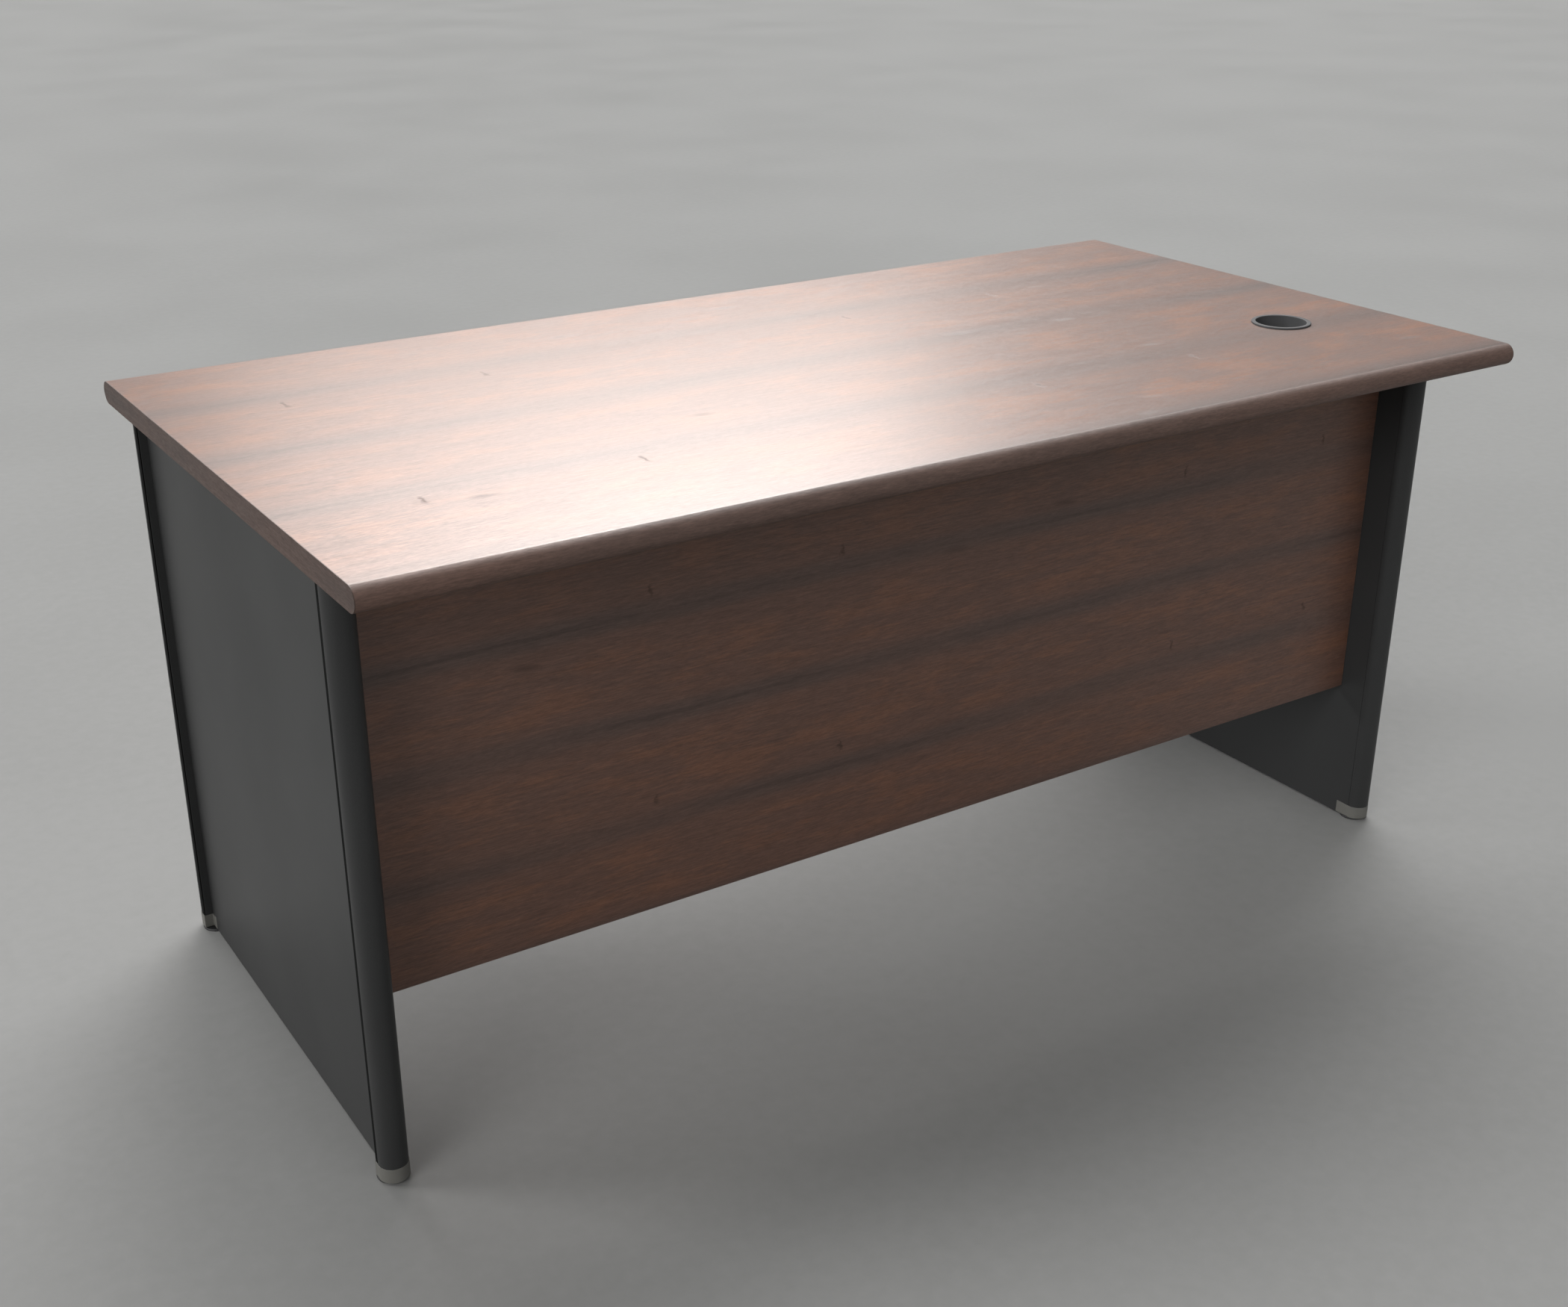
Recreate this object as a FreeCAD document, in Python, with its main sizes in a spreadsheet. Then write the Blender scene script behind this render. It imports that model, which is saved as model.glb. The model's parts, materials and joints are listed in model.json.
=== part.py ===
import FreeCAD, Part
import math
import operator
import os
import types

import Sketcher

# A teacher desk: a post-formed, bullnosed worktop on two hollow steel panel legs, with a
# wood-faced modesty panel hung between the legs.
# Frame: origin on the floor under the middle of the worktop, +X along the desk,
# +Y from the visitor's side to the user's side, +Z up.  Millimetres throughout.

DRIVING = {
    # how far a cut runs past the faces that it goes through
    "overcut": 1,
    # worktop
    "desk_length": 1600,
    "desk_depth": 836,
    "desk_height": 750,
    "top_thickness": 28,
    "laminate_thickness": 0.8,
    "laminate_lip": 14,
    "glue_line": 0.05,
    "edge_band": 1.0,
    # legs
    "leg_inset": 11.5,
    "leg_thickness": 34,
    "leg_depth": 667,
    "front_overhang": 114,
    "post_depth": 27.5,
    "post_wall": 1.2,
    "post_corner": 2.0,
    "panel_recess": 12,
    "sheet_thickness": 1.0,
    "seam_gap": 0.6,
    "panel_floor_gap": 3,
    "tray_return": 18,
    "tray_return_start": 52,
    "channel_gauge": 1.2,
    "top_channel_depth": 15,
    "bottom_channel_depth": 18,
    "stiffener_width": 40,
    "stiffener_gap": 4,
    # feet
    "cap_floor_gap": 3.6,
    "cap_top": 22,
    "cap_proud": 0.5,
    "cap_length": 39.5,
    "cap_edge_radius": 0.8,
    "spigot_height": 22,
    "spigot_play": 0.25,
    "glide_setback": 22.5,
    "pad_radius": 18,
    "pad_thickness": 3.2,
    "pad_edge": 0.9,
    "hub_radius": 6.2,
    "hub_top": 5.6,
    "stud_radius": 3.0,
    "stud_top": 38,
    "hexagon_flats": 10,
    "stud_collar_bottom": 6.0,
    "stud_collar_top": 9.0,
    "neck_radius": 2.4,
    "stud_flange_radius": 4.4,
    "stud_flange_bottom": 1.4,
    "stud_flange_top": 3.0,
    "socket_play": 0.3,
    "running_play": 0.05,
    "recess_radius": 6.6,
    "recess_top": 10,
    "glide_nut_height": 5,
    "nut_play": 0.05,
    "stud_bore_radius": 3.2,
    # modesty panel
    "modesty_setback": 172,
    "modesty_thickness": 18,
    "modesty_floor_gap": 206,
    "modesty_top_gap": 0.8,
    "modesty_end_gap": 0.5,
    # angle brackets and their screws
    "bracket_flange": 40,
    "bracket_gauge": 3,
    "bracket_width": 70,
    "bracket_hole_inset": 24,
    "bracket_hole_pitch": 40,
    "bracket_hole_radius": 3.3,
    "front_bracket_y": -150,
    "rear_bracket_y": 290,
    "upper_modesty_bracket_z": 640,
    "lower_modesty_bracket_z": 285,
    "screw_radius": 3.0,
    "screw_length": 14,
    "screw_head_radius": 5.5,
    "screw_head_height": 3.2,
    "screw_socket_flats": 4,
    "screw_socket_depth": 2,
    "insert_radius": 5.0,
    "insert_length": 12,
    "rivet_radius": 4.5,
    "rivet_collar_radius": 6.0,
    "rivet_collar_length": 2,
    "rivet_length": 13,
    # cable grommet
    "grommet_end_distance": 168,
    "grommet_front_distance": 252.5,
    "grommet_bore": 34,
    "grommet_wall": 1.2,
    "grommet_flange": 40,
    "grommet_rise": 2.6,
    "grommet_depth": 22,
    "grommet_round": 1.1,
}

X_AXIS, Y_AXIS, Z_AXIS = (FreeCAD.Vector(*axis) for axis in ((1, 0, 0), (0, 1, 0), (0, 0, 1)))
HEXAGON_RATIO = math.sqrt(3)  # a hexagon's distance across flats over its corner radius
OPERATIONS = {"+": operator.add, "-": operator.sub, "*": operator.mul, "/": operator.truediv}

doc = FreeCAD.newDocument("teacher_desk")
sheet = doc.addObject("Spreadsheet::Sheet", "dims")
for row, (alias, number) in enumerate(DRIVING.items(), start=1):
    sheet.set(f"A{row}", alias)
    sheet.set(f"B{row}", str(number))
    sheet.setAlias(f"B{row}", alias)
doc.recompute()

nodes = []


class Dim:
    """A length worked out from the sheet: its value, and the expression that keeps it bound."""

    def __init__(self, value, text=None):
        self.value = float(value)
        self.text = text or f"({self.value:.9g})"

    def __add__(self, other):
        return combine(self, "+", other)

    def __radd__(self, other):
        return combine(other, "+", self)

    def __sub__(self, other):
        return combine(self, "-", other)

    def __rsub__(self, other):
        return combine(other, "-", self)

    def __mul__(self, other):
        return combine(self, "*", other)

    def __rmul__(self, other):
        return combine(other, "*", self)

    def __truediv__(self, other):
        return combine(self, "/", other)

    def __neg__(self):
        return combine(-1, "*", self)


def as_dim(length):
    return length if isinstance(length, Dim) else Dim(length)


def combine(left, sign, right):
    left, right = as_dim(left), as_dim(right)
    value = OPERATIONS[sign](left.value, right.value)
    return Dim(value, f"({left.text} {sign} {right.text})")


d = types.SimpleNamespace(**{alias: Dim(number, f"dims.{alias}") for alias, number in DRIVING.items()})


# ---------------------------------------------------------------- drawing helpers

def bind(thing, prop, length):
    thing.setExpression(prop, as_dim(length).text)


def vector(x, y, z=0):
    return FreeCAD.Vector(as_dim(x).value, as_dim(y).value, as_dim(z).value)


def place(thing, x, y, z, rotation=FreeCAD.Rotation()):
    """Put a piece at (x, y, z), each bound to the sheet."""
    thing.Placement = FreeCAD.Placement(vector(x, y, z), rotation)
    for axis, length in zip("xyz", (x, y, z)):
        bind(thing, f"Placement.Base.{axis}", length)


def half_turn(turned):
    return FreeCAD.Rotation(Z_AXIS, 180 if turned else 0)


def new_body(label, x=0, y=0, z=0, rotation=FreeCAD.Rotation(), keep=True):
    body = doc.addObject("PartDesign::Body", label)
    body.Label = label
    place(body, x, y, z, rotation)
    if keep:
        nodes.append(body)
    return body


def new_sketch(body, role, offset=0):
    """A sketch on one of the body's own origin planes, moved along that plane's normal."""
    plane = [feature for feature in body.Origin.OriginFeatures if feature.Role == role][0]
    sketch = body.newObject("Sketcher::SketchObject", f"{body.Name}_sketch")
    sketch.AttachmentSupport = [(plane, "")]
    sketch.MapMode = "FlatFace"
    sketch.AttachmentOffset = FreeCAD.Placement(vector(0, 0, offset), FreeCAD.Rotation())
    bind(sketch, "AttachmentOffset.Base.z", offset)
    return sketch


def fix(sketch, kind, geometry, point, length):
    """Hold one coordinate of a point at its distance from the sketch's origin."""
    length = as_dim(length)
    index = sketch.addConstraint(Sketcher.Constraint(kind, -1, 1, geometry, point, length.value))
    bind(sketch, f"Constraints[{index}]", length)


def circle(sketch, x, y, radius):
    geometry = sketch.addGeometry(Part.Circle(vector(x, y), Z_AXIS, as_dim(radius).value), False)
    fix(sketch, "DistanceX", geometry, 3, x)
    fix(sketch, "DistanceY", geometry, 3, y)
    index = sketch.addConstraint(Sketcher.Constraint("Radius", geometry, as_dim(radius).value))
    bind(sketch, f"Constraints[{index}]", radius)


def outline(sketch, corners):
    """A closed outline.  A corner is (x, y), or (x, y, centre, turn) where the side that leaves
    it is an arc about centre, anticlockwise for turn 1 and clockwise for turn -1.
    The last side is straight."""
    count = len(corners)
    ends = []
    for index, corner in enumerate(corners):
        start = vector(*corner[:2])
        finish = vector(*corners[(index + 1) % count][:2])
        if len(corner) == 2:
            geometry = sketch.addGeometry(Part.LineSegment(start, finish), False)
            ends.append((geometry, 1, 2))
            continue
        centre = vector(*corner[2])
        anticlockwise = corner[3] > 0
        first, last = (start, finish) if anticlockwise else (finish, start)
        angles = [math.atan2(end.y - centre.y, end.x - centre.x) for end in (first, last)]
        ring = Part.Circle(centre, Z_AXIS, (start - centre).Length)
        geometry = sketch.addGeometry(Part.ArcOfCircle(ring, *angles), False)
        fix(sketch, "DistanceX", geometry, 3, corner[2][0])
        fix(sketch, "DistanceY", geometry, 3, corner[2][1])
        ends.append((geometry, 1, 2) if anticlockwise else (geometry, 2, 1))
    for index, corner in enumerate(corners):
        geometry, leaves, arrives = ends[index]
        following, next_leaves, _ = ends[(index + 1) % count]
        sketch.addConstraint(Sketcher.Constraint("Coincident", geometry, arrives, following, next_leaves))
        before = corners[index - 1]
        wanted = ["DistanceX", "DistanceY"]
        if len(before) > 2:
            # an arc ends here, so one coordinate is enough to hold the point
            radius = vector(*corner[:2]) - vector(*before[2])
            wanted = wanted[:1] if abs(radius.y) > abs(radius.x) else wanted[1:]
        for kind in wanted:
            fix(sketch, kind, geometry, leaves, corner[0] if kind == "DistanceX" else corner[1])


def rectangle(sketch, x0, y0, x1, y1):
    outline(sketch, [(x0, y0), (x1, y0), (x1, y1), (x0, y1)])


def hexagon(sketch, x, y, across_flats):
    """A regular hexagon with two flats square to the sketch's X axis."""
    half = across_flats / 2
    point = across_flats / HEXAGON_RATIO
    outline(sketch, [(x + half, y - point / 2), (x + half, y + point / 2), (x, y + point),
                     (x - half, y + point / 2), (x - half, y - point / 2), (x, y - point)])


def pad(body, sketch, length):
    """Thicken a sketch along its normal."""
    feature = body.newObject("PartDesign::Pad", f"{body.Name}_pad")
    feature.Profile = sketch
    bind(feature, "Length", length)
    doc.recompute()
    return feature


def pocket(body, sketch, depth):
    """Cut a sketch along its normal, and make sure that it took material away."""
    before = body.Shape.Volume
    feature = body.newObject("PartDesign::Pocket", f"{body.Name}_pocket")
    feature.Profile = sketch
    feature.Reversed = True
    bind(feature, "Length", depth)
    doc.recompute()
    if body.Shape.Volume >= before:
        raise RuntimeError(f"{body.Label}: the pocket cuts nothing")
    return feature


def revolve(body, corners):
    """Turn an outline in the XZ plane about the body's Z axis."""
    sketch = new_sketch(body, "XZ_Plane")
    outline(sketch, corners)
    feature = body.newObject("PartDesign::Revolution", f"{body.Name}_turned")
    feature.Profile = sketch
    feature.ReferenceAxis = (sketch, ["V_Axis"])
    feature.Angle = 360
    doc.recompute()
    return feature


def round_edges(body, radius, wanted):
    """Round the edges whose bounding box passes the test."""
    base = body.Tip
    names = [f"Edge{index}" for index, edge in enumerate(base.Shape.Edges, start=1)
             if wanted(edge.BoundBox)]
    feature = body.newObject("PartDesign::Fillet", f"{body.Name}_round")
    feature.Base = (base, names)
    bind(feature, "Radius", radius)
    doc.recompute()
    return feature


# ---------------------------------------------------------------- shared places

half_length = d.desk_length / 2
half_depth = d.desk_depth / 2
top_underside = d.desk_height - d.top_thickness
nose_radius = d.leg_thickness / 2
bullnose = d.top_thickness / 2
bullnose_y = half_depth - bullnose
leg_outer_x = half_length - d.leg_inset
leg_inner_x = leg_outer_x - d.leg_thickness
leg_front_y = d.front_overhang - half_depth
leg_rear_y = leg_front_y + d.leg_depth
leg_middle_y = leg_front_y + d.leg_depth / 2
modesty_rear_y = d.modesty_setback + d.modesty_thickness - half_depth
grommet_x = half_length - d.grommet_end_distance
grommet_y = d.grommet_front_distance - half_depth
sleeve_radius = d.grommet_bore + d.grommet_wall
sleeve_hole = sleeve_radius + d.socket_play

SIDES = {"left": -1, "right": 1}
ENDS = ("front", "rear")
BRACKET_YS = (d.front_bracket_y, d.rear_bracket_y)
BRACKET_ZS = {"upper": d.upper_modesty_bracket_z, "lower": d.lower_modesty_bracket_z}
PAIR = (-d.bracket_hole_pitch / 2, d.bracket_hole_pitch / 2)


# ---------------------------------------------------------------- worktop

board_start = d.edge_band - half_length
board_length = d.desk_length - 2 * d.edge_band


def worktop_section(sketch, inset):
    """The worktop's section, half round along both long edges, shrunk all round by inset.
    It starts in the middle of the underside, so that it closes on a straight side."""
    low, high = inset, d.top_thickness - inset
    outline(sketch, [(0, low), (bullnose_y, low, (bullnose_y, bullnose), 1), (bullnose_y, high),
                     (-bullnose_y, high, (-bullnose_y, bullnose), 1), (-bullnose_y, low)])


def insert_holes(body, start, depth):
    """The eight holes under the worktop that the threaded inserts sit in."""
    sketch = new_sketch(body, "XY_Plane", start)
    for x, y in desktop_screw_places():
        circle(sketch, x - board_start, y, d.insert_radius + d.glue_line)
    pocket(body, sketch, depth)


def grommet_hole(body):
    sketch = new_sketch(body, "XY_Plane", -d.overcut)
    circle(sketch, grommet_x - board_start, grommet_y, sleeve_hole)
    pocket(body, sketch, d.top_thickness + 2 * d.overcut)


def desktop_core():
    body = new_body("desktop_core", board_start, 0, top_underside)
    sketch = new_sketch(body, "YZ_Plane")
    worktop_section(sketch, d.laminate_thickness + d.glue_line)
    pad(body, sketch, board_length)
    grommet_hole(body)
    insert_holes(body, 0, d.insert_length + d.glue_line)


def desktop_laminate():
    """One sheet bent round both bullnoses, with a lip under each."""
    inner = d.laminate_thickness
    top_inner = d.top_thickness - inner
    lip_y = bullnose_y - d.laminate_lip
    rear, front = (bullnose_y, bullnose), (-bullnose_y, bullnose)
    body = new_body("desktop_laminate", board_start, 0, top_underside)
    sketch = new_sketch(body, "YZ_Plane")
    outline(sketch, [(lip_y, 0), (bullnose_y, 0, rear, 1),
                     (bullnose_y, d.top_thickness), (-bullnose_y, d.top_thickness, front, 1),
                     (-bullnose_y, 0), (-lip_y, 0), (-lip_y, inner), (-bullnose_y, inner, front, -1),
                     (-bullnose_y, top_inner), (bullnose_y, top_inner, rear, -1),
                     (bullnose_y, inner), (lip_y, inner)])
    pad(body, sketch, board_length)
    grommet_hole(body)


def desktop_backer():
    """The balancing sheet under the core, between the laminate's lips."""
    edge_y = bullnose_y - d.laminate_lip - 2 * d.glue_line
    body = new_body("desktop_backer", board_start, 0, top_underside)
    sketch = new_sketch(body, "YZ_Plane")
    rectangle(sketch, -edge_y, 0, edge_y, d.laminate_thickness)
    pad(body, sketch, board_length)
    grommet_hole(body)
    insert_holes(body, -d.overcut, d.laminate_thickness + 2 * d.overcut)


def desktop_end_band(name, side):
    start = -half_length if side < 0 else half_length - d.edge_band
    body = new_body(f"desktop_end_band_{name}", start, 0, top_underside)
    sketch = new_sketch(body, "YZ_Plane")
    worktop_section(sketch, 0)
    pad(body, sketch, d.edge_band)


def cable_grommet():
    """A flanged sleeve with a rounded rim, open through the worktop."""
    rise, rounding = d.grommet_rise, d.grommet_round
    bore, flange = d.grommet_bore, d.grommet_flange
    body = new_body("cable_grommet", grommet_x, grommet_y, d.desk_height)
    revolve(body, [(bore, -d.grommet_depth), (sleeve_radius, -d.grommet_depth), (sleeve_radius, 0),
                   (flange, 0), (flange, rise - rounding, (flange - rounding, rise - rounding), 1),
                   (flange - rounding, rise),
                   (bore + rounding, rise, (bore + rounding, rise - rounding), 1),
                   (bore, rise - rounding)])


# ---------------------------------------------------------------- legs

def leg_body(label, side, z=0, across=0):
    """A body in a leg's own frame: X inward from the outer face, Y from the middle of its depth.
    The right leg is the left one turned half round."""
    return new_body(label, side * (leg_outer_x - across), leg_middle_y, z, half_turn(side > 0))


def corner_body(label, side, end, z=0):
    """A body in a corner's own frame: Y back from the post's nose, X from the leg's outer face.
    It returns the body and its hand, which is the way along X that goes into the leg."""
    rear = end == "rear"
    y = leg_rear_y if rear else leg_front_y
    hand = side if rear else -side
    return new_body(label, side * leg_outer_x, y, z, half_turn(rear)), hand


def post(label, side, end):
    """A roll-formed steel post with a half-round nose.  Its inner side is set back by one sheet
    behind the nose, so that the leg's inner panel laps over it flush."""
    body, hand = corner_body(label, side, end, d.cap_top)
    height = top_underside - d.cap_top
    lap = d.leg_thickness - d.sheet_thickness
    corner = d.post_corner
    wall = d.post_wall
    void_middle = lap / 2
    sketch = new_sketch(body, "XY_Plane")
    outline(sketch, [(hand * corner, d.post_depth, (hand * corner, d.post_depth - corner), hand),
                     (0, d.post_depth - corner),
                     (0, nose_radius, (hand * nose_radius, nose_radius), hand),
                     (hand * d.leg_thickness, nose_radius), (hand * lap, nose_radius),
                     (hand * lap, d.post_depth)])
    outline(sketch, [(hand * wall, d.post_depth - wall),
                     (hand * wall, nose_radius, (hand * void_middle, nose_radius), hand),
                     (hand * (lap - wall), nose_radius),
                     (hand * (lap - wall), d.post_depth - wall)])
    pad(body, sketch, height)


def notched_sheet(sketch, half_width, notch_end):
    """A sheet with its two lower corners cut away round the foot caps."""
    low, high = d.panel_floor_gap, d.cap_top + d.spigot_play
    notch_y = d.leg_depth / 2 - notch_end
    outline(sketch, [(-notch_y, low), (notch_y, low), (notch_y, high), (half_width, high),
                     (half_width, top_underside), (-half_width, top_underside),
                     (-half_width, high), (-notch_y, high)])


def outer_panel(label, side):
    """The recessed outer sheet, with a folded return against each post."""
    body = leg_body(label, side, across=d.panel_recess)
    step_y = d.leg_depth / 2 - d.post_depth
    sketch = new_sketch(body, "YZ_Plane")
    notched_sheet(sketch, step_y, d.cap_length + d.spigot_play)
    pad(body, sketch, d.sheet_thickness)
    for end in (-1, 1):
        fold = new_sketch(body, "YZ_Plane")
        rectangle(fold, end * step_y, d.tray_return_start,
                  end * (step_y - d.sheet_thickness), top_underside)
        pad(body, fold, d.tray_return)


def inner_panel(label, side):
    """The flush inner sheet, drilled for the rivet nuts that hold the brackets."""
    body = leg_body(label, side, across=d.leg_thickness - d.sheet_thickness)
    sketch = new_sketch(body, "YZ_Plane")
    lap_y = d.leg_depth / 2 - nose_radius - d.seam_gap
    notched_sheet(sketch, lap_y, d.cap_length + d.spigot_play)
    pad(body, sketch, d.sheet_thickness)
    holes = new_sketch(body, "YZ_Plane", -d.overcut)
    for y, z in leg_screw_places():
        circle(holes, -side * (y - leg_middle_y), z, d.rivet_radius + d.running_play)
    pocket(body, holes, d.sheet_thickness + 2 * d.overcut)


def channel(label, side, bottom, top, web_low, half_width):
    """A folded U section that closes the leg between its two sheets."""
    gauge = d.channel_gauge
    width = d.leg_thickness - d.panel_recess - 2 * d.sheet_thickness
    body = leg_body(label, side, across=d.panel_recess + d.sheet_thickness)
    sketch = new_sketch(body, "XZ_Plane", -half_width)
    if web_low:
        corners = [(0, bottom), (width, bottom), (width, top), (width - gauge, top),
                   (width - gauge, bottom + gauge), (gauge, bottom + gauge), (gauge, top), (0, top)]
    else:
        corners = [(0, top), (0, bottom), (gauge, bottom), (gauge, top - gauge),
                   (width - gauge, top - gauge), (width - gauge, bottom), (width, bottom),
                   (width, top)]
    outline(sketch, corners)
    pad(body, sketch, 2 * half_width)


def stiffener(label, side):
    """An upright U section that keeps the two sheets apart in the middle of the leg."""
    gauge = d.channel_gauge
    width = d.leg_thickness - d.panel_recess - 2 * d.sheet_thickness
    half = d.stiffener_width / 2
    low = d.panel_floor_gap + d.bottom_channel_depth + d.stiffener_gap
    high = top_underside - d.top_channel_depth - d.stiffener_gap
    body = leg_body(label, side, z=low, across=d.panel_recess + d.sheet_thickness)
    sketch = new_sketch(body, "XY_Plane")
    outline(sketch, [(0, -half), (gauge, -half), (gauge, half - gauge), (width - gauge, half - gauge),
                     (width - gauge, -half), (width, -half), (width, half), (0, half)])
    pad(body, sketch, high - low)


def leg(name, side):
    for end in ENDS:
        post(f"{name}_{end}_post", side, end)
    outer_panel(f"{name}_outer_panel", side)
    inner_panel(f"{name}_inner_panel", side)
    channel(f"{name}_top_channel", side, top_underside - d.top_channel_depth, top_underside,
            False, d.leg_depth / 2 - d.post_depth - 2 * d.sheet_thickness)
    channel(f"{name}_bottom_channel", side, d.panel_floor_gap,
            d.panel_floor_gap + d.bottom_channel_depth, True,
            d.leg_depth / 2 - d.cap_length - 2 * d.sheet_thickness)
    stiffener(f"{name}_stiffener", side)


# ---------------------------------------------------------------- feet

def foot_cap(label, side, end):
    """A moulded cap that closes the post and the lower corner of the leg.  A spigot holds it in
    the post, and the levelling foot's nut bears up against a shoulder inside it."""
    body, hand = corner_body(label, side, end, d.cap_floor_gap)
    proud = d.cap_proud
    height = d.cap_top - d.cap_floor_gap
    step = d.post_depth + proud
    tongue = hand * (d.panel_recess - proud)
    outer, inner = -hand * proud, hand * (d.leg_thickness + proud)
    nose = (hand * nose_radius, nose_radius)
    sketch = new_sketch(body, "XY_Plane")
    outline(sketch, [(tongue, step), (outer, step), (outer, nose_radius, nose, hand),
                     (inner, nose_radius), (inner, d.cap_length), (tongue, d.cap_length)])
    pad(body, sketch, height)

    def outer_rim(box):
        """The whole bottom edge, and the upright edges behind the levelling foot's axis."""
        upright = box.ZLength > height.value / 2 and box.YMin > d.glide_setback.value
        return box.ZMax < d.cap_edge_radius.value or upright

    round_edges(body, d.cap_edge_radius, outer_rim)
    near = d.post_wall + d.spigot_play
    far = d.leg_thickness - d.sheet_thickness - near
    back = d.post_depth - near
    spigot = new_sketch(body, "XY_Plane", height)
    middle = (hand * (near + far) / 2, nose_radius)
    outline(spigot, [(hand * near, back), (hand * near, nose_radius, middle, hand),
                     (hand * far, nose_radius), (hand * far, back)])
    pad(body, spigot, d.spigot_height)
    axis = (hand * nose_radius, d.glide_setback)
    recess = new_sketch(body, "XY_Plane")
    circle(recess, *axis, d.recess_radius)
    pocket(body, recess, d.recess_top - d.cap_floor_gap)
    nut_seat = new_sketch(body, "XY_Plane", d.recess_top - d.cap_floor_gap)
    hexagon(nut_seat, *axis, d.hexagon_flats + 2 * d.nut_play)
    pocket(body, nut_seat, d.glide_nut_height)
    bore = new_sketch(body, "XY_Plane")
    circle(bore, *axis, d.stud_bore_radius)
    pocket(body, bore, height + d.spigot_height + d.overcut)


def glide_body(label, side, end):
    """A body on a levelling foot's own upright axis, at floor level."""
    rear = end == "rear"
    y = leg_rear_y - d.glide_setback if rear else leg_front_y + d.glide_setback
    return new_body(label, side * (leg_outer_x - nose_radius), y, 0)


def glide_pad(label, side, end):
    """The round foot.  Its closed socket holds the flange at the stud's lower end."""
    body = glide_body(label, side, end)
    play = d.socket_play
    edge = d.pad_edge
    neck = d.neck_radius + d.running_play
    socket = d.stud_flange_radius + play
    low, high = d.stud_flange_bottom - play, d.stud_flange_top + play
    revolve(body, [(0, 0), (d.pad_radius - edge, 0), (d.pad_radius, edge),
                   (d.pad_radius, d.pad_thickness - edge), (d.pad_radius - edge, d.pad_thickness),
                   (d.hub_radius, d.pad_thickness), (d.hub_radius, d.hub_top), (neck, d.hub_top),
                   (neck, high), (socket, high), (socket, low), (0, low)])


def glide_stud(label, side, end):
    """The screw, with a flange that swivels in the foot and a hexagon for a spanner."""
    body = glide_body(label, side, end)
    neck = d.neck_radius
    revolve(body, [(0, d.stud_flange_bottom), (d.stud_flange_radius, d.stud_flange_bottom),
                   (d.stud_flange_radius, d.stud_flange_top), (neck, d.stud_flange_top),
                   (neck, d.stud_collar_bottom), (d.stud_radius, d.stud_collar_bottom),
                   (d.stud_radius, d.stud_top - d.stud_radius + neck), (neck, d.stud_top),
                   (0, d.stud_top)])
    collar = new_sketch(body, "XY_Plane", d.stud_collar_bottom)
    hexagon(collar, 0, 0, d.hexagon_flats)
    pad(body, collar, d.stud_collar_top - d.stud_collar_bottom)


def foot(name, side, end):
    foot_cap(f"{name}_{end}_foot_cap", side, end)
    glide_pad(f"{name}_{end}_glide_pad", side, end)
    glide_stud(f"{name}_{end}_glide_stud", side, end)


# ---------------------------------------------------------------- modesty panel

modesty_half = leg_inner_x - d.modesty_end_gap
modesty_height = top_underside - d.modesty_top_gap - d.modesty_floor_gap


def modesty_board():
    """The board inside its edge bands, drilled from behind for the inserts."""
    band = d.edge_band
    body = new_body("modesty_board", 0, modesty_rear_y, d.modesty_floor_gap)
    sketch = new_sketch(body, "XZ_Plane")
    rectangle(sketch, band - modesty_half, band, modesty_half - band, modesty_height)
    pad(body, sketch, d.modesty_thickness)
    holes = new_sketch(body, "XZ_Plane")
    for x, z in modesty_screw_places():
        circle(holes, x, z - d.modesty_floor_gap, d.insert_radius + d.glue_line)
    pocket(body, holes, d.insert_length + d.glue_line)


def modesty_band(label, x0, z0, x1, z1):
    body = new_body(label, 0, modesty_rear_y, d.modesty_floor_gap)
    sketch = new_sketch(body, "XZ_Plane")
    rectangle(sketch, x0, z0, x1, z1)
    pad(body, sketch, d.modesty_thickness)


def modesty_panel():
    band = d.edge_band
    modesty_board()
    modesty_band("modesty_bottom_band", -modesty_half, 0, modesty_half, band)
    modesty_band("modesty_left_band", -modesty_half, band, band - modesty_half, modesty_height)
    modesty_band("modesty_right_band", modesty_half - band, band, modesty_half, modesty_height)


# ---------------------------------------------------------------- brackets and fasteners

def leg_screw_places():
    """(y, z) of every screw that goes into one leg's inner panel."""
    places = [(bracket_y + step, top_underside - d.bracket_hole_inset)
              for bracket_y in BRACKET_YS for step in PAIR]
    places += [(modesty_rear_y + d.bracket_hole_inset, bracket_z + step)
               for bracket_z in BRACKET_ZS.values() for step in PAIR]
    return places


def modesty_screw_places():
    """(x, z) of every screw that goes into the modesty board."""
    return [(side * (leg_inner_x - d.bracket_hole_inset), bracket_z + step)
            for side in SIDES.values() for bracket_z in BRACKET_ZS.values() for step in PAIR]


def desktop_screw_places():
    """(x, y) of every screw that goes up into the worktop."""
    return [(side * (leg_inner_x - d.bracket_hole_inset), bracket_y + step)
            for side in SIDES.values() for bracket_y in BRACKET_YS for step in PAIR]


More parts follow.
